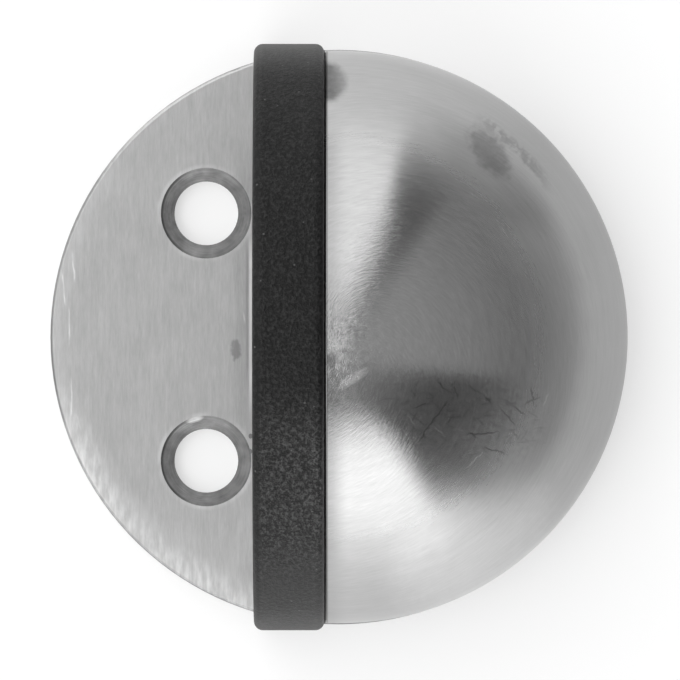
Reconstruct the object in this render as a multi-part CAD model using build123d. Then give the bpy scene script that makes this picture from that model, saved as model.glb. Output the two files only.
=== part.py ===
from build123d import *
import os
from math import cos, radians, sin, sqrt, tan

# Floor door stop, in millimetres. A round steel plate carries a hollow half dome and a moulded rubber
# buffer. The origin is the centre of the plate's underside, on the floor. +Z is up, and the door comes
# from -X and meets the buffer's flat face.

# Base plate
plate_diameter = 45.0
plate_thickness = 2.0
plate_edge_radius = 0.25

# Half dome
dome_inset = 0.1  # how much smaller the dome's radius is than the plate's
dome_setback = 0.3  # the dome's axis lies this far behind the plate's
dome_front_reach = 1.3  # from the dome's axis forward to its front face
dome_wall = 2.2
dome_edge_radius = 0.2
lip_width = 1.6  # how far the lip inside the mouth runs back from the front face
lip_height = 1.2  # how far the lip stands in from the wall

# Rubber buffer
buffer_thickness = 5.5
buffer_proud = 0.55  # how far the buffer stands out beyond the dome
buffer_edge_radius = 0.7
buffer_gap = 0.05  # joint line between the buffer and the dome's front face
spigot_clearance = 0.1  # between the spigot and the lip it passes
bead_height = 0.7
bead_width = 1.4
bead_edge_chamfer = 0.4

# Cross groove in the plate for the buffer's foot
groove_depth = 0.4
groove_clearance = 0.04

# Floor-screw holes
floor_hole_diameter = 5.0
floor_hole_spacing = 19.4
floor_hole_setback = 3.75  # from the buffer's front face to the line of holes
floor_countersink_diameter = 7.1
countersink_angle = 90.0

# Screws that join the dome to the plate
screw_diameter = 3.0
screw_length = 8.0
screw_head_diameter = 5.6
screw_tip_chamfer = 0.4
screw_hole_clearance = 0.2  # around the shank in the plate
screw_fit = 0.05  # around the shank in its boss, and around the head in its seat
recess_width = 0.9
recess_span = 3.0
recess_depth = 1.0
tap_runout = 1.0  # bored past the screw's tip

# Bosses inside the dome for those screws
boss_diameter = 6.5
boss_wall_overlap = 0.4  # how far a boss runs into the wall beside it
boss_angle = 50.0  # to each side of straight back

# Sizes and places that follow
plate_radius = plate_diameter / 2
dome_radius = plate_radius - dome_inset
cavity_radius = dome_radius - dome_wall
mouth_radius = cavity_radius - lip_height
dome_front = dome_setback - dome_front_reach
lip_back = dome_front + lip_width

buffer_radius = dome_radius + buffer_proud
buffer_back = dome_front - buffer_gap
buffer_front = buffer_back - buffer_thickness
buffer_foot = plate_thickness - groove_depth
spigot_radius = mouth_radius - spigot_clearance
bead_radius = spigot_radius + bead_height
bead_front = lip_back + spigot_clearance
bead_back = bead_front + bead_width

groove_front = buffer_front - groove_clearance
groove_back = buffer_back + groove_clearance
floor_hole_line = buffer_front - floor_hole_setback

boss_radius = boss_diameter / 2
boss_circle = cavity_radius + boss_wall_overlap - boss_radius
boss_places = []
for side in (-1, 1):
    turn = radians(side * boss_angle)
    boss_places.append((dome_setback + boss_circle * cos(turn), boss_circle * sin(turn)))

standing = (Align.CENTER, Align.CENTER, Align.MIN)


def half_ball(radius, front):
    """Solid half dome on the plate's top, kept behind an upright front plane."""
    ball = Pos(dome_setback, 0, plate_thickness) * Sphere(radius)
    upper = split(ball, Plane.XY.offset(plate_thickness), keep=Keep.TOP)
    return split(upper, Plane.YZ.offset(front), keep=Keep.TOP)


def arch(radius, foot, front, back):
    """D-shaped slab across the plate, round about the dome's centre height and flat at its foot."""
    lying = Plane(origin=(front, 0, plate_thickness), x_dir=(0, 0, -1), z_dir=(1, 0, 0))
    bar = lying * Cylinder(radius, back - front, align=standing)
    return split(bar, Plane.XY.offset(foot), keep=Keep.TOP)


def countersunk(bore_diameter, head_diameter, depth):
    """Round bar with a conical head, its wide face at the origin and the bar running up."""
    cone_height = (head_diameter - bore_diameter) / 2 / tan(radians(countersink_angle / 2))
    bar = Cylinder(bore_diameter / 2, depth, align=standing)
    return bar + Cone(head_diameter / 2, bore_diameter / 2, cone_height, align=standing)


def round_edges(solid):
    """The circular edges of a solid."""
    return solid.edges().filter_by(GeomType.CIRCLE)


def make_base_plate():
    """Round plate with a softened rim, a cross groove, and two pairs of countersunk holes."""
    plate = Cylinder(plate_radius, plate_thickness, align=standing)
    plate = fillet(round_edges(plate).group_by(Axis.Z)[-1], plate_edge_radius)

    groove_middle = (groove_front + groove_back) / 2
    groove = Box(groove_back - groove_front, plate_diameter, plate_thickness, align=standing)
    plate -= Pos(groove_middle, 0, buffer_foot) * groove

    floor_hole = countersunk(floor_hole_diameter, floor_countersink_diameter, plate_thickness)
    for side in (-1, 1):
        place = Pos(floor_hole_line, side * floor_hole_spacing / 2, plate_thickness)
        plate -= place * Rot(X=180) * floor_hole

    screw_hole = countersunk(
        screw_diameter + 2 * screw_hole_clearance, screw_head_diameter + 2 * screw_fit, plate_thickness
    )
    for x, y in boss_places:
        plate -= Pos(x, y, 0) * screw_hole
    return plate


def dome_arc(radius, front):
    """Quarter round of the dome's section, from an upright front line back to the dome's axis."""
    front_height = sqrt(radius**2 - (front - dome_setback) ** 2)
    halfway = radius * cos(radians(45))
    return ThreePointArc((front, front_height), (dome_setback + halfway, halfway), (dome_setback + radius, 0))


def make_dome_shell():
    """Half dome with a rounded front edge and a lip inside its mouth, its section turned half a circle."""
    outside = dome_arc(dome_radius, dome_front)
    inside = dome_arc(cavity_radius, lip_back)
    corners = Polyline(inside @ 0, (lip_back, mouth_radius), (dome_front, mouth_radius), outside @ 0)
    section = make_face([outside, corners, inside, Line(inside @ 1, outside @ 1)])
    rim = section.vertices().group_by(Axis.X)[0].sort_by(Axis.Y)[-1]
    section = fillet(rim, dome_edge_radius)
    return Pos(0, 0, plate_thickness) * revolve(section, Axis.X, 180)


def make_half_dome():
    """Hollow half dome with two tapped bosses inside."""
    dome = make_dome_shell()
    mid_wall = half_ball(cavity_radius + dome_wall / 2, lip_back)
    tapped_depth = screw_length - plate_thickness + tap_runout
    for x, y in boss_places:
        place = Pos(x, y, plate_thickness)
        dome += (place * Cylinder(boss_radius, dome_radius, align=standing)) & mid_wall
        dome -= place * Cylinder(screw_diameter / 2 + screw_fit, tapped_depth, align=standing)
    return dome


def make_rubber_buffer():
    """Moulded slab with rounded arch edges, and behind it a spigot whose bead locks past the dome's lip."""
    slab = arch(buffer_radius, buffer_foot, buffer_front, buffer_back)
    slab = fillet(round_edges(slab), buffer_edge_radius)
    spigot = arch(spigot_radius, plate_thickness, buffer_back, bead_back)
    bead = arch(bead_radius, plate_thickness, bead_front, bead_back)
    bead = chamfer(round_edges(bead), bead_edge_chamfer)
    return slab + spigot + bead


def make_dome_screw():
    """Countersunk screw with a cross recess, head down at the origin and tip up."""
    screw = countersunk(screw_diameter, screw_head_diameter, screw_length)
    screw = chamfer(round_edges(screw).group_by(Axis.Z)[-1], screw_tip_chamfer)
    bar = Box(recess_span, recess_width, recess_depth, align=standing)
    return screw - (bar + Rot(Z=90) * bar)


def make_dome_screws():
    """One screw under each boss."""
    return Compound(children=[Pos(x, y, 0) * make_dome_screw() for x, y in boss_places])


os.makedirs("parts", exist_ok=True)
export_step(make_base_plate(), "parts/base_plate.step")
export_step(make_half_dome(), "parts/half_dome.step")
export_step(make_rubber_buffer(), "parts/rubber_buffer.step")
export_step(make_dome_screws(), "parts/dome_screws.step")
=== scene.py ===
"""Floor door stop: materials, floor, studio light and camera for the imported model, in metres."""

from math import atan2, cos, degrees, hypot, radians, sin

import bpy
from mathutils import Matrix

mm = 0.001

# Camera, straight above, with a square frame
view_width = 53.24 * mm
view_distance = 0.95
view_level = 2.0 * mm  # height at which the frame is that wide
view_place = (0.18 * mm, -0.23 * mm)
sensor_width = 36.0  # millimetres, as the camera counts them

# Places on the object, in millimetres
plan_origin = (0.0, 0.0)
plate_radius = 22.5
hole_line = -10.3
hole_reach = 9.7  # of each floor hole to either side
countersink_radius = 3.55
level_normal = 0.99  # a face lies level where its normal is this upright
buffer_front = -6.55
buffer_back = -1.05
dome_front = -1.0
dome_radius = 22.4
dome_centre = (0.3, 0.0, 2.0)
brush_pole = (-0.3, -0.6)  # the dome's brushing runs round it
rear_reach = 1.1  # around the dome's rear point
rear_fade = 0.1

# Base tones, where 1 is white
plate_tone = 0.47
countersink_tone = 0.33
dome_tone = 0.46
screw_tone = 0.50
rubber_tone = 0.004
# Dust and painted sheen give the rubber's near end this even tone
rubber_dust_and_sheen_tone = 0.034
floor_tone = 0.90
floor_whitening = 0.55  # how far the view of the floor goes to plain white

# Base roughness, shine and metal
plate_roughness = 0.44
countersink_roughness = 0.75
dome_roughness = 0.17
screw_roughness = 0.38
rubber_roughness = 0.55
floor_roughness = 0.9
rubber_shine = 0.2
floor_shine = 0.0
bare_metal = 1.0
grimy_metal = 0.55

# How far brushing draws out the reflections
plate_drawing = 0.8
countersink_drawing = 0.2
dome_drawing = 0.85

# Depth of relief, in millimetres
plate_relief = 0.008
countersink_relief = 0.012
dome_relief = 0.014
screw_relief = 0.006
rubber_relief = 0.24

# Grain of the finishes: features to a millimetre along x, y and z
plate_brush_scale = (9.0, 0.9, 9.0)
plate_streak_scale = (3.0, 0.3, 1.0)
plate_patch_scale = (0.3, 0.3, 1.0)
plate_stroke_scale = (2.6, 0.6, 1.0)
plate_smudge_scale = (2.2, 1.8, 1.0)
grime_scale = (1.1, 1.1, 1.0)
dome_patch_scale = (0.2, 0.2, 0.2)
dome_mottle_scale = (2.4, 2.4, 1.0)
dome_smear_scale = (1.4, 1.4, 1.0)
screw_scale = (0.8, 0.8, 6.0)
pebble_scale = (3.7, 3.7, 2.4)
rubber_fine_scale = (8.0, 8.0, 8.0)
rubber_patch_scale = (0.25, 0.25, 0.25)
rubber_speck_scale = (0.8, 0.8, 0.8)
paper_scale = (0.5, 0.5, 1.0)

# Grain that runs round: features to a millimetre outward, to a radian of turn, and to a level
dome_line_scale = (6.0, 9.0, 1.0)
dome_line_slant = 4.0  # millimetres that a line moves outward in a radian
dome_band_scale = (1.5, 1.2, 1.0)
countersink_ring_scale = (9.0, 1.5, 1.0)
countersink_ring_slant = 5.0 / 9.0  # millimetres that a ring moves outward in one of height

# Levels at which grain is cut where height has no part in it
stroke_level = 5.0
smear_level = 7.0
line_level = 0.0
band_level = 3.0

# Limits between which grain turns into marks
stroke_limits = (0.3, 0.8)
least_stroke = 0.2
hole_rim_limits = (0.35, 0.6)
streak_limits = (0.36, 0.52)
# Dust and painted glints on the pebble tops
dust_and_glint_limits = (0.42, 0.68)
speck_limits = (0.09, 0.03)

# Strength of the fainter and stronger marks
plate_speck_strength = 1.6
streak_strength = 0.75
tangle_strength = 0.5

# How far marks wander, in millimetres
plate_wander = 0.6
dome_wander = (0.5, 0.6)
streak_wander = 1.6

# Zones of the plate: each coordinate with the limits between which the zone fades in, in millimetres
# Worn lower left rim: real sanding strokes, lightened by a painted highlight of its rounded edge
plate_worn_rim_highlight = (("inset", 2.9, 0.3), ("x", -2.0, -8.0), ("y", -2.0, -9.0))
# Painted light: paler towards the left rim
plate_pale_rim = (("inset", 2.0, 0.3), ("x", -15.0, -20.0))
# Painted shade: a thin dark line where the rim turns down
plate_edge_shade = (("inset", 0.26, 0.14), ("y", 17.0, 11.0))
# Painted light: paler towards the near side
plate_near_part = (("y", -8.0, -19.0),)
# Painted highlight on the burr along the rubber's front, and painted shade in a strip beside it
plate_burr_highlight = (("ahead", 0.45, 0.33), ("y", -7.0, -3.0), ("y", 8.5, 6.0))
plate_burr_shade = (("ahead", 0.7, 0.55), ("ahead", 0.4, 0.5), ("y", -5.0, -1.0), ("y", 8.5, 6.0))
# Painted shade on the plate in front of the rubber
plate_shade_beside_rubber = (("ahead", 2.15, 0.85), ("y", -9.0, -6.0), ("y", 17.0, 14.0))
# Painted highlight, in patches, on the raised rims around the holes
plate_hole_rim_highlight = (("outside", 0.4, 0.1),)

# Zones of a countersink, from its hole's middle and its edge
# Painted shade round each countersink's lip, strongest on its left
countersink_lip_shade = (("inset", 0.23, 0.1),)
countersink_shade_left = (("across", -0.8, -2.6),)
# Painted shade on the right side of each countersink
countersink_shade_right = (("across", -2.5, 2.0),)
# Painted highlight on the far side of each countersink
countersink_far_highlight = (("along", 1.8, 3.0),)

# Zones of the dome, where drop runs down the ball from its top and behind runs back from its front
dome_worn_top = (("ring", 4.5, 1.0),)
# Painted shade: darker on the dome's right flank, in a low band and on its far right shoulder
dome_flank = (("x", 9.0, 17.0), ("y", -17.0, -7.0))
dome_band = (("drop", 13.0, 18.0), ("drop", 24.0, 19.5))
dome_shoulder = (("x", 6.5, 10.0), ("y", 7.0, 10.0))
dome_front_part = (("behind", 2.0, -0.1), ("y", 18.0, 14.0))
# Painted shade in the gap between the dome's front edge and the rubber
dome_gap_shade = (("behind", 0.28, 0.18),)
dome_near_part = (("y", -4.0, -9.0),)
dome_near_end = (("y", -14.0, -19.0),)
dome_cast_side = (("x", -0.9, 0.8),)
dome_streak_ring = (("ring", 20.2, 20.7), ("ring", 21.45, 20.95))
dome_streak_side = (("x", 10.3, 12.1), ("x", 16.9, 15.1), ("y", 8.0, 10.0))
dome_off_top = (("drop", 3.0, 10.0),)
dome_calm_side = (("drop", 9.0, 15.0),)
dome_lower_part = (("drop", 9.0, 22.0),)

# Zones of the rubber, by the distance from its front and back faces
rubber_front_edge = (("from_front", 0.75, 0.4),)
rubber_near_half = (("y", -3.0, -9.0),)
rubber_near_end = (("y", -14.5, -19.5),)
# Painted sheen at both tips of the rubber
rubber_near_tip = (("y", -20.5, -23.0),)
rubber_far_tip = (("y", 20.0, 23.0),)
rubber_back_strip = (("from_back", 1.25, 0.55), ("y", -6.0, -10.0))
rubber_crevice = (("from_back", 0.2, 0.05),)
rubber_joint_line = (("from_back", 0.04, 0.005),)
rubber_upper_part = (("z", 4.0, 15.0),)

# Smears and spots: place in plan, reach along and across, bearing, raggedness and softness of the edge
plate_smudge = ((-8.0, -0.95), (0.42, 0.75), 0.0, 1.6, 0.7)
plate_specks = (
    ((-6.83, -7.75), (0.16, 0.2), 0.0, 0.5, 0.25),
    ((-6.85, -8.95), (0.16, 0.2), 0.0, 0.5, 0.25),
)
countersink_glint = ((-11.2, -6.45), (0.62, 0.2), 15.0, 0.5, 0.8)
dome_scratched = ((9.8, -6.0), (6.2, 3.3), -10.0, 0.6, 0.6)
dome_dull_smear = ((11.7, 14.3), (2.2, 1.1), -55.0, 1.2, 0.7)
dome_cast = ((-1.0, 19.75), (1.7, 1.55), 0.0, 0.45, 0.5)
dome_pit = ((-0.5, -1.75), (0.35, 0.6), 0.0, 0.6, 0.6)
dome_burnish = ((1.15, -3.2), (1.3, 0.34), 34.0, 1.0, 0.95)
dome_dark_core = ((8.6, -4.7), (3.8, 1.8), -10.0, 0.8, 0.9)
# Painted highlight: a brighter reflection low on the dome's near right side
dome_painted_highlight = ((10.2, -16.1), (6.2, 3.4), 31.0, 0.3, 0.9)

# Scratches, from end to end in plan
scratch_width = 0.11
scratch_overrun = 0.2
scratch_fade = 0.4
plate_scratches = (
    ((-20.8, 6.7), (-20.6, 4.3)),
    ((-21.6, 5.0), (-21.3, 2.5)),
    ((-21.0, 2.3), (-21.0, -0.8)),
    ((-20.9, -3.2), (-20.8, -6.1)),
    ((-20.4, -6.1), (-20.1, -7.3)),
    ((-7.35, 2.0), (-7.3, 1.1)),
)
dark_scratches = (
    ((6.3, -7.8), (8.4, -5.0)),
    ((5.8, -5.4), (6.9, -5.1)),
    ((8.9, -3.9), (9.2, -4.6)),
    ((7.6, -3.3), (8.3, -4.0)),
    ((11.2, -4.3), (11.8, -5.2)),
    ((12.5, -5.4), (13.7, -6.8)),
    ((13.4, -5.3), (14.5, -6.0)),
    ((14.3, -5.2), (15.6, -4.5)),
    ((14.9, -3.8), (15.1, -5.2)),
    ((9.8, -7.5), (12.4, -7.2)),
    ((11.2, -8.4), (13.0, -9.0)),
)
light_scratches = (
    ((5.3, -5.9), (6.0, -6.8)),
    ((7.4, -6.8), (8.2, -7.7)),
    ((11.2, -8.8), (9.8, -10.1)),
    ((16.2, -4.3), (15.9, -5.2)),
)

# Tangle of finer scratches on the dome
tangle_bearings = (58.0, -43.0, 4.0)
tangle_scale = (0.4, 3.0, 1.0)  # scratches to a millimetre, along and across
tangle_limits = (0.34, 0.08)
tangle_bend = 0.8
tangle_bend_scale = (0.5, 0.5, 1.0)
tangle_patch_scale = (0.9, 0.9, 1.0)
tangle_patch_limits = (0.40, 0.56)

# Edges of the light panels: bearing, how far the edge lies to the left of straight up, and softness
back_edges = ((64.0, 0.02, 0.02), (77.0, -0.067, 0.015))
front_edges = ((120.5, 0.024, 0.06),)
low_edges = ((130.0, 0.02, 0.1),)
ceiling_side = (-126.0, 0.0, 0.03)
outer_ceiling_edges = ((-6.0, -0.10, 0.02), ceiling_side)
inner_ceiling_edges = ((20.0, -0.15, 0.02), ceiling_side)

# Light panels: level, where 1 shows as white, edges, and the zone of the sky that they lie in
ceiling_level = 0.55
ceiling_zone = (("out", 2.0, -0.4), ("out", 0.95, 0.7))
panels = {
    "back": (1.5, back_edges, (("q", 0.02, 0.07),)),
    "front": (2.1, front_edges, (("q", -0.295, -0.345),)),
    "left": (2.5, (), (("p", -0.05, -0.14), ("p", -0.6, -0.35))),
    "low": (3.8, low_edges, (("p", 0.05, 0.25), ("out", 0.88, 1.0))),
    "outer ceiling": (ceiling_level, outer_ceiling_edges, ceiling_zone),
    "inner ceiling": (ceiling_level, inner_ceiling_edges, ceiling_zone),
}
gap_level = 0.10
gap_low_zone = (("out", 0.45, 0.8),)
gap_top_zone = (("out", 0.45, 0.15),)
least_height = 0.05  # keeps directions near straight down at a finite place

floor_reach = 4.0

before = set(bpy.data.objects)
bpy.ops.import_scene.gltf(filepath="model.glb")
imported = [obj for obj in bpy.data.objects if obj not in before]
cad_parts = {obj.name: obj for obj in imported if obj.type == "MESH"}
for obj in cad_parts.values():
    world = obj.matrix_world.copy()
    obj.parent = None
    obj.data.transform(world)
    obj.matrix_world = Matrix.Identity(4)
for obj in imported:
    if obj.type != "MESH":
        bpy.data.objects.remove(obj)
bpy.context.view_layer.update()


class Field:
    """A number that varies over a surface. Arithmetic on it adds the nodes that work it out."""

    def __init__(self, tree, socket):
        self.tree = tree
        self.socket = socket

    def math(self, operation, *others):
        node = self.tree.nodes.new("ShaderNodeMath")
        node.operation = operation
        for socket, value in zip(node.inputs, (self, *others)):
            feed(socket, value)
        return Field(self.tree, node.outputs[0])

    def __add__(self, other):
        return self.math("ADD", other)

    def __sub__(self, other):
        return self.math("SUBTRACT", other)

    def __mul__(self, other):
        return self.math("MULTIPLY", other)

    def __truediv__(self, other):
        return self.math("DIVIDE", other)

    __radd__ = __add__
    __rmul__ = __mul__

    def __rsub__(self, other):
        return self * -1.0 + other

    def rise(self, low, high):
        """0 where this is at low or beyond, 1 where it is at high or beyond, smooth between."""
        node = self.tree.nodes.new("ShaderNodeMapRange")
        node.interpolation_type = "SMOOTHSTEP"
        feed(node.inputs["Value"], self)
        if low < high:
            limits = (low, high, 0.0, 1.0)
        else:
            limits = (high, low, 1.0, 0.0)
        for name, value in zip(("From Min", "From Max", "To Min", "To Max"), limits):
            feed(node.inputs[name], value)
        return Field(self.tree, node.outputs["Result"])


def feed(socket, value):
    """Links a field to a socket, or sets a plain value on it."""
    if isinstance(value, Field):
        value.tree.links.new(value.socket, socket)
    else:
        socket.default_value = value


def split(tree, socket):
    """The three parts of a vector as fields."""
    node = tree.nodes.new("ShaderNodeSeparateXYZ")
    tree.links.new(socket, node.inputs[0])
    return [Field(tree, part) for part in node.outputs]


def join(x, y, z):
    """A vector from three fields or numbers."""
    tree = next(part.tree for part in (x, y, z) if isinstance(part, Field))
    node = tree.nodes.new("ShaderNodeCombineXYZ")
    for socket, value in zip(node.inputs, (x, y, z)):
        feed(socket, value)
    return Field(tree, node.outputs[0])


def scaled(x, y, z, scale):
    """A vector from three fields or numbers, each times its own scale."""
    return join(x * scale[0], y * scale[1], z * scale[2])


def place_in_mm(tree):
    """Position on the object in millimetres, as three fields."""
    coordinates = tree.nodes.new("ShaderNodeTexCoord")
    return [part * (1 / mm) for part in split(tree, coordinates.outputs["Object"])]


def most(first, *others):
    """The largest of several fields."""
    for other in others:
        first = first.math("MAXIMUM", other)
    return first


def zone(place, limits):
    """1 where every coordinate that a zone names has passed its second limit, and 0 before its first."""
    inside, *others = [place[name].rise(start, full) for name, start, full in limits]
    for other in others:
        inside = inside * other
    return inside


def swing(field, span):
    """A field from 0 to 1, made to swing about 0 by that span."""
    return (field - 0.5) * span


def darker(tone, mark, share):
    """A tone that loses a share of itself where a mark is 1."""
    return tone * (1.0 - mark * share)


def lighter(tone, mark, share):
    """A tone that gains a share of itself where a mark is 1."""
    return tone * (1.0 + mark * share)


def grain(x, y, z, scale, detail=2.0, roughness=0.5):
    """Smooth noise from about 0 to 1, with so many features to a unit of each coordinate."""
    vector = scaled(x, y, z, scale)
    node = vector.tree.nodes.new("ShaderNodeTexNoise")
    feed(node.inputs["Vector"], vector)
    for name, value in {"Scale": 1.0, "Detail": detail, "Roughness": roughness}.items():
        feed(node.inputs[name], value)
    return Field(vector.tree, node.outputs["Fac"])


def cells(x, y, z, scale):
    """Distance to the nearest of a scatter of points, so many to a unit of each coordinate."""
    vector = scaled(x, y, z, scale)
    node = vector.tree.nodes.new("ShaderNodeTexVoronoi")
    feed(node.inputs["Vector"], vector)
    feed(node.inputs["Scale"], 1.0)
    return Field(vector.tree, node.outputs["Distance"])


def distance(x, y, point):
    """Distance from a point in plan."""
    across = x - point[0]
    along = y - point[1]
    return (across * across + along * along).math("SQRT")


def turned(x, y, bearing):
    """Plan coordinates along and across a bearing."""
    turn = radians(bearing)
    return x * cos(turn) + y * sin(turn), y * cos(turn) - x * sin(turn)


def smear(x, y, rough, centre, reach, bearing, ragged, softness):
    """1 inside an oval in plan, its edge made ragged by a rough field, and 0 outside."""
    along, across = turned(x - centre[0], y - centre[1], bearing)
    along = along / reach[0]
    across = across / reach[1]
    reached = along * along + across * across + swing(rough, 2.0 * ragged)
    return reached.rise(1.0 + softness, 1.0 - softness)


def scratch(x, y, start, end):
    """1 along a scratch between two points in plan, fading at its ends."""
    run = (end[0] - start[0], end[1] - start[1])
    length = hypot(*run)
    along, across = turned(x - start[0], y - start[1], degrees(atan2(run[1], run[0])))
    ends = along.rise(-scratch_overrun, scratch_fade)
    ends = ends * along.rise(length + scratch_overrun, length - scratch_fade)
    return across.math("ABSOLUTE").rise(scratch_width, 0.0) * ends


def scratch_set(x, y, places):
    """1 along any of a set of scratches."""
    return most(*[scratch(x, y, *place) for place in places])


def strands(x, y, bearing):
    """The part of the tangle that runs about one way: sparse short scratches."""
    bend = grain(x, y, bearing, tangle_bend_scale) * tangle_bend
    along, across = turned(x, y, bearing)
    marks = cells(along, across + bend, bearing, tangle_scale)
    kept = grain(x, y, bearing, tangle_patch_scale)
    return marks.rise(*tangle_limits) * kept.rise(*tangle_patch_limits)


def bump(height, depth, normal=None):
    """Surface normal of a relief that is depth millimetres deep where the height field is 1."""
    node = height.tree.nodes.new("ShaderNodeBump")
    feed(node.inputs["Height"], height)
    if normal is not None:
        feed(node.inputs["Normal"], normal)
    feed(node.inputs["Strength"], 1.0)
    feed(node.inputs["Distance"], depth * mm)
    return Field(height.tree, node.outputs["Normal"])


def new_material(name):
    """A material, its tree and its surface shader."""
    material = bpy.data.materials.new(name)
    material.use_nodes = True
    return material, material.node_tree, material.node_tree.nodes["Principled BSDF"]


def coat(shader, tone, roughness, normal):
    """Gives a surface its tone, roughness and relief."""
    feed(shader.inputs["Base Color"], tone)
    feed(shader.inputs["Roughness"], roughness)
    feed(shader.inputs["Normal"], normal)


def brush(shader, metal, tangent, drawing):
    """Makes a surface metal whose reflections are drawn out by brushing."""
    feed(shader.inputs["Metallic"], metal)
    feed(shader.inputs["Tangent"], tangent)
    feed(shader.inputs["Anisotropic"], drawing)


def shade_plate(tone, place):
    """Slow changes of the plate's tone, from its rim to the rubber: painted light towards its left rim and
    near side, painted shade in front of the rubber, beside the burr and at its edge.
    """
    # Painted light, paler towards the near side and the left rim
    pale = zone(place, plate_near_part) * 0.1 + zone(place, plate_pale_rim) * 0.15
    tone = tone * (1.0 + pale)
    tone = darker(tone, zone(place, plate_shade_beside_rubber), 0.14)
    tone = darker(tone, zone(place, plate_burr_shade), 0.2)
    return darker(tone, zone(place, plate_edge_shade), 0.5)


def mark_plate(tone, x, y, patches, strokes):
    """The smudge, specks and light scratches on the plate."""
    rough = grain(x, y, smear_level, plate_smudge_scale, detail=3.0)
    specks = [smear(x, y, rough, *speck) * plate_speck_strength for speck in plate_specks]
    smudge = most(smear(x, y, rough, *plate_smudge), *specks)
    scored = scratch_set(x + swing(patches, plate_wander), y, plate_scratches)
    return lighter(darker(tone, smudge, 0.35), scored * strokes, 0.5)


def make_plate_steel():
    """Steel brushed straight across the plate, with a worn rim lightened by a painted highlight, and a
    painted highlight on the burr along the rubber.
    """
    material, tree, shader = new_material("plate_steel")
    x, y, z = place_in_mm(tree)
    inset = plate_radius - distance(x, y, plan_origin)
    outside = distance(x, y.math("ABSOLUTE"), (hole_line, hole_reach)) - countersink_radius
    place = {"x": x, "y": y, "inset": inset, "ahead": buffer_front - x, "outside": outside}
    fine = grain(x, y, z, plate_brush_scale, detail=4.0, roughness=0.7)
    coarse = grain(x, y, z, plate_streak_scale, detail=3.0)
    patches = grain(x, y, z, plate_patch_scale, detail=3.0)
    strokes = grain(x, y, stroke_level, plate_stroke_scale, detail=3.0)
    strokes = strokes.rise(*stroke_limits) + least_stroke

    tone = plate_tone + swing(fine, 0.22) + swing(coarse, 0.14) + swing(patches, 0.08)
    # Painted highlights on the worn rim and on the burr along the rubber
    tone = tone + zone(place, plate_worn_rim_highlight) * strokes * 0.24 + zone(place, plate_burr_highlight) * 0.26
    # Painted highlight on the raised hole rims
    tone = tone + zone(place, plate_hole_rim_highlight) * patches.rise(*hole_rim_limits) * 0.1
    tone = mark_plate(shade_plate(tone, place), x, y, patches, strokes)
    coat(shader, tone, plate_roughness + swing(fine, 0.12), bump(fine, plate_relief))
    brush(shader, bare_metal, join(x * 0.0 + 1.0, 0.0, 0.0), plate_drawing)
    return material


def make_countersink_steel():
    """Steel as a countersinking tool leaves it: dull and grimy, with turned rings, painted shade on its
    right side and round its lip, most on the left, and painted highlights on its far side and in a glint.
    """
    material, tree, shader = new_material("countersink_steel")
    x, y, z = place_in_mm(tree)
    side = y.math("SIGN")
    across = x - hole_line
    along = y - side * hole_reach
    ring = distance(across, along, plan_origin)
    turn = along.math("ARCTAN2", across)
    place = {"across": across, "along": along, "inset": countersink_radius - ring}
    rings = grain(ring + z * countersink_ring_slant, turn, side, countersink_ring_scale, detail=3.0)
    grime = grain(x, y, z, grime_scale, detail=3.0)

    tone = countersink_tone + swing(rings, 0.3) + swing(grime, 0.36)
    tone = darker(tone, zone(place, countersink_shade_right), 0.45)
    tone = lighter(tone, zone(place, countersink_far_highlight), 0.35)
    tone = darker(tone, zone(place, countersink_lip_shade), 0.1 + zone(place, countersink_shade_left) * 0.5)
    tone = lighter(tone, smear(x, y, grime, *countersink_glint), 1.1)
    coat(shader, tone, countersink_roughness + swing(rings, 0.2), bump(rings, countersink_relief))
    brush(shader, grimy_metal, join(across, along, 0.0), countersink_drawing)
    return material


def even_rear_normal(tree, x, y, z):
    """The surface's normal, and the ball's own around the dome's rear point, in which its facets meet."""
    rear = (dome_centre[0] + dome_radius, dome_centre[1])
    near = distance(x, y, rear).rise(rear_reach, rear_reach - rear_fade)
    geometry = tree.nodes.new("ShaderNodeNewGeometry")
    parts = []
    for place, centre, part in zip((x, y, z), dome_centre, split(tree, geometry.outputs["Normal"])):
        outward = (place - centre) / dome_radius
        parts.append(part + (outward - part) * near)
    return join(*parts)


def shade_dome(tone, place):
    """Slow changes of the dome's tone: painted shade on its right flank and shoulder, darker along its
    front beside the rubber, and painted shade in the gap at its front edge.
    """
    # Painted shade on the right flank and shoulder
    band = zone(place, dome_band)
    tone = darker(tone, zone(place, dome_flank), 0.2 + band * 0.24)
    tone = darker(tone, zone(place, dome_shoulder) * band, 0.25)
    share = 0.3 + zone(place, dome_near_part) * 0.14 - zone(place, dome_near_end) * 0.28
    tone = darker(tone, zone(place, dome_front_part), share)
    return darker(tone, zone(place, dome_gap_shade), 0.6)


def scratch_dome(tone, x, y, scratched, mottle, bands):
    """The dome's dark scratches, the tangle of finer ones around them, and a few light ones."""
    tangle = most(*[strands(x, y, bearing) for bearing in tangle_bearings])
    wander_x = x + swing(mottle, dome_wander[0])
    wander_y = y + swing(bands, dome_wander[1])
    dark = most(tangle * scratched * tangle_strength, scratch_set(wander_x, wander_y, dark_scratches))
    light = scratch_set(wander_x, wander_y, light_scratches)
    return lighter(darker(tone, dark, 0.42), light, 0.35)


def spot_dome(tone, x, y, rough):
    """The dome's pit and burnished spot near its top, a darker patch among its scratches, and a painted
    highlight low on its near right side.
    """
    tone = darker(tone, smear(x, y, rough, *dome_pit), 0.35)
    tone = lighter(tone, smear(x, y, rough, *dome_burnish), 0.65)
    tone = darker(tone, smear(x, y, rough, *dome_dark_core), 0.15)
    return lighter(tone, smear(x, y, rough, *dome_painted_highlight), 0.28)


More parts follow.
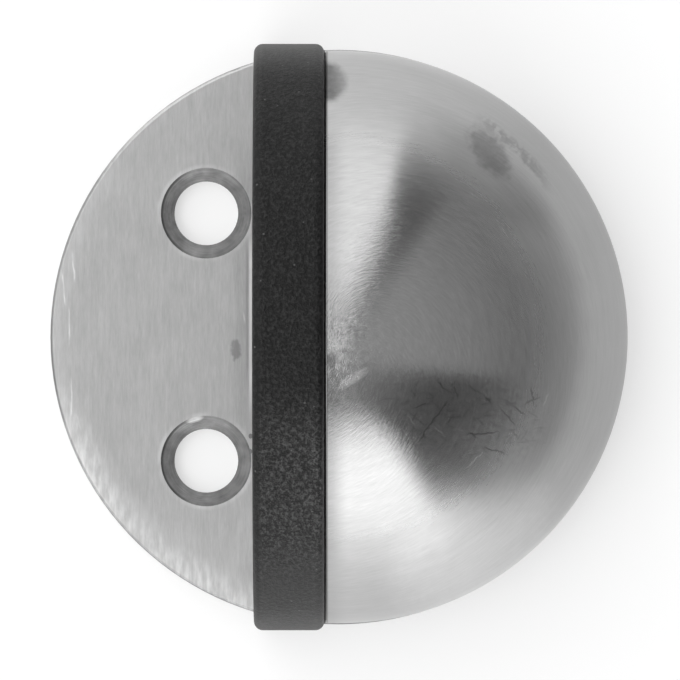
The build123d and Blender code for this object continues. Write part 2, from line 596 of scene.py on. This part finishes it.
def dull_part(place, rough, mottle):
    """How dull the dome is, in a smear and in the broken streak outside it."""
    ragged = {"ring": place["ring"] + swing(rough, streak_wander)}
    streak = zone(ragged, dome_streak_ring) * zone(place, dome_streak_side)
    streak = streak * rough.rise(*streak_limits) * streak_strength
    patch = smear(place["x"], place["y"], rough, *dome_dull_smear)
    return most(patch, streak) * (0.6 + mottle * 0.8)


def cast_part(place, rough, mottle):
    """The dark cast on the dome at the rubber's far end, weaker on its right."""
    cast = smear(place["x"], place["y"], rough, *dome_cast) * (0.8 + mottle * 0.4)
    return darker(cast, zone(place, dome_cast_side), 0.45)


def make_dome_steel():
    """Satin steel brushed in rings about the dome's top, with scratches, smears and worn spots, painted
    shade on its right and at its front edge, and a painted highlight low on its near right side.
    """
    material, tree, shader = new_material("dome_steel")
    x, y, z = place_in_mm(tree)
    across = x - brush_pole[0]
    along = y - brush_pole[1]
    ring = distance(x, y, brush_pole)
    turn = along.math("ARCTAN2", across)
    height = (z - dome_centre[2]) * (1 / dome_radius)
    drop = height.math("MINIMUM", 1.0).math("ARCCOSINE") * dome_radius
    place = {"x": x, "y": y, "ring": ring, "drop": drop, "behind": x - dome_front}

    slanted = drop + turn * dome_line_slant
    lines = grain(slanted, turn, line_level, dome_line_scale, detail=4.0, roughness=0.65)
    bands = grain(drop, turn, band_level, dome_band_scale)
    patches = grain(x, y, z, dome_patch_scale, detail=3.0)
    mottle = grain(x, y, z, dome_mottle_scale, detail=3.0)
    rough = grain(x, y, smear_level, dome_smear_scale, detail=3.0)
    worn_top = zone(place, dome_worn_top)
    scratched = smear(x, y, rough, *dome_scratched)
    dull = dull_part(place, rough, mottle)
    cast = cast_part(place, rough, mottle)

    tone = dome_tone + swing(lines, 0.16) + swing(bands, 0.06) + swing(patches, 0.06)
    tone = tone + swing(mottle, 0.3) * most(worn_top, scratched * 0.7)
    tone = scratch_dome(shade_dome(tone, place), x, y, scratched, mottle, bands)
    tone = darker(darker(spot_dome(tone, x, y, rough), dull, 0.24), cast, 0.68)
    spread = dome_roughness + zone(place, dome_off_top) * 0.03 + zone(place, dome_lower_part) * 0.11
    spread = spread + swing(lines, 0.06) + dull * 0.08 + cast * 0.1
    relief = darker(lines, zone(place, dome_calm_side), 0.9) + mottle * worn_top * 2.0
    coat(shader, tone, spread, bump(relief, dome_relief, even_rear_normal(tree, x, y, z)))
    brush(shader, bare_metal, join(across, along, 0.0), dome_drawing)
    return material


def make_screw_steel():
    """Plated screw steel, turned, a little dull."""
    material, tree, shader = new_material("screw_steel")
    lines = grain(*place_in_mm(tree), screw_scale, detail=3.0)
    tone = screw_tone + swing(lines, 0.12)
    coat(shader, tone, screw_roughness + swing(lines, 0.15), bump(lines, screw_relief))
    feed(shader.inputs["Metallic"], bare_metal)
    return material


def dust_and_sheen_on_rubber(tone, place, front_edge):
    """Dust and painted sheen on the rubber: lighter on its near half, even at its near end, painted sheen
    at both tips, and lighter along its back, in its crevice and at its back edge.
    """
    near_half = zone(place, rubber_near_half)
    # Dust and painted sheen on the near half
    dust_and_sheen = near_half * (1.8 - front_edge * 1.4) + zone(place, rubber_back_strip)
    tone = tone * (1.0 + dust_and_sheen)
    even = zone(place, rubber_near_end) * (0.65 - front_edge * 0.4)
    tone = tone + (rubber_dust_and_sheen_tone - tone) * even
    # Painted sheen at both tips
    tips = zone(place, rubber_far_tip) * 0.04 + zone(place, rubber_near_tip) * 0.012
    crevice = zone(place, rubber_crevice) * (0.02 + near_half * 0.04)
    return tone + tips + crevice + zone(place, rubber_joint_line) * 0.3


def make_rubber():
    """Black moulded rubber with a pebbled grain and a smoother front edge. Dust and painted glints lighten
    its high spots.
    """
    material, tree, shader = new_material("rubber")
    x, y, z = place_in_mm(tree)
    place = {"y": y, "z": z, "from_front": x - buffer_front, "from_back": buffer_back - x}
    fine = grain(x, y, z, rubber_fine_scale)
    patches = grain(x, y, z, rubber_patch_scale)
    pebbles = grain(x, y, z, pebble_scale, detail=3.0, roughness=0.6) * 0.75 + fine * 0.25
    # Dust and painted glints on the pebble tops
    dust_and_glints = pebbles.rise(*dust_and_glint_limits)
    specks = cells(x, y, z, rubber_speck_scale).rise(*speck_limits)
    front_edge = zone(place, rubber_front_edge)

    tone = rubber_tone + dust_and_glints * 0.019 + swing(fine, 0.010) + swing(patches, 0.006)
    tone = dust_and_sheen_on_rubber(darker(tone, front_edge, 0.4), place, front_edge) + specks * 0.08
    relief = darker(pebbles, front_edge, 0.6) * (0.35 + zone(place, rubber_upper_part) * 0.65)
    coat(shader, tone, rubber_roughness + swing(patches, 0.15), bump(relief, rubber_relief))
    feed(shader.inputs["Specular IOR Level"], rubber_shine)
    return material


def dress(node, material):
    """Gives a CAD node its finish."""
    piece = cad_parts[node]
    for place in piece.material_slots:
        place.material = material
    return piece


def dress_countersinks(plate, material):
    """Gives the faces inside the plate's floor holes their own finish."""
    plate.data.materials.append(material)
    for face in plate.data.polygons:
        across = face.center.x / mm - hole_line
        along = abs(face.center.y) / mm - hole_reach
        if hypot(across, along) < countersink_radius and abs(face.normal.z) < level_normal:
            face.material_index = len(plate.data.materials) - 1


def make_floor():
    """Wide pale floor under the part."""
    ends = (-floor_reach, floor_reach)
    corners = [(x, y, 0.0) for y in ends for x in ends]
    mesh = bpy.data.meshes.new("floor")
    mesh.from_pydata(corners, [], [(0, 1, 3, 2)])
    floor = bpy.data.objects.new("floor", mesh)
    bpy.context.scene.collection.objects.link(floor)
    mesh.materials.append(make_floor_paper())


def make_floor_paper():
    """White paper that keeps a soft shadow and looks whiter than it is lit, also in the metal."""
    material, tree, shader = new_material("floor_paper")
    paper = grain(*place_in_mm(tree), paper_scale)
    feed(shader.inputs["Base Color"], floor_tone + swing(paper, 0.01))
    feed(shader.inputs["Roughness"], floor_roughness)
    feed(shader.inputs["Specular IOR Level"], floor_shine)
    path = tree.nodes.new("ShaderNodeLightPath")
    rays = ("Is Camera Ray", "Is Glossy Ray", "Is Transmission Ray")
    seen = most(*[Field(tree, path.outputs[ray]) for ray in rays])
    white = tree.nodes.new("ShaderNodeEmission")
    mix = tree.nodes.new("ShaderNodeMixShader")
    feed(mix.inputs["Fac"], seen * floor_whitening)
    tree.links.new(shader.outputs["BSDF"], mix.inputs[1])
    tree.links.new(white.outputs["Emission"], mix.inputs[2])
    tree.links.new(mix.outputs["Shader"], tree.nodes["Material Output"].inputs["Surface"])
    return material


def beyond(p, q, bearing, offset, softness):
    """1 on the left of a line that runs along a bearing, that far to its left, and 0 on its right."""
    turn = radians(bearing)
    side = q * cos(turn) - p * sin(turn)
    return side.rise(offset - softness, offset + softness)


def panel_light(place, level, edges, limits):
    """Light of one panel, inside its zone and beyond its edges."""
    light = zone(place, limits) * level
    for edge in edges:
        light = light * beyond(place["p"], place["q"], *edge)
    return light


def make_studio():
    """Soft panels behind, in front, to the left and low down, a grey ceiling, and dim gaps between."""
    world = bpy.data.worlds.new("studio")
    bpy.context.scene.world = world
    world.use_nodes = True
    tree = world.node_tree
    coordinates = tree.nodes.new("ShaderNodeTexCoord")
    x, y, z = split(tree, coordinates.outputs["Generated"])

    # Each direction as a point in plan, with straight up at the origin and the horizon at 1 from it
    height = (z + 1.0).math("MAXIMUM", least_height)
    p = x / height
    q = y / height
    place = {"p": p, "q": q, "out": distance(p, q, plan_origin)}
    gaps = gap_level * (1.0 + zone(place, gap_low_zone) + zone(place, gap_top_zone) * 1.6)
    level = most(gaps, *[panel_light(place, *panel) for panel in panels.values()])
    feed(tree.nodes["Background"].inputs["Color"], level)


def make_camera():
    """Camera straight above the part, its frame square to the axes."""
    data = bpy.data.cameras.new("camera")
    data.sensor_width = sensor_width
    data.lens = sensor_width * view_distance / view_width
    camera = bpy.data.objects.new("camera", data)
    camera.location = (*view_place, view_level + view_distance)
    bpy.context.scene.collection.objects.link(camera)
    bpy.context.scene.camera = camera


plate = dress("base_plate", make_plate_steel())
dress_countersinks(plate, make_countersink_steel())
dress("half_dome", make_dome_steel())
dress("dome_screws", make_screw_steel())
dress("rubber_buffer", make_rubber())
make_floor()
make_studio()
make_camera()
bpy.context.scene.view_settings.view_transform = "Standard"
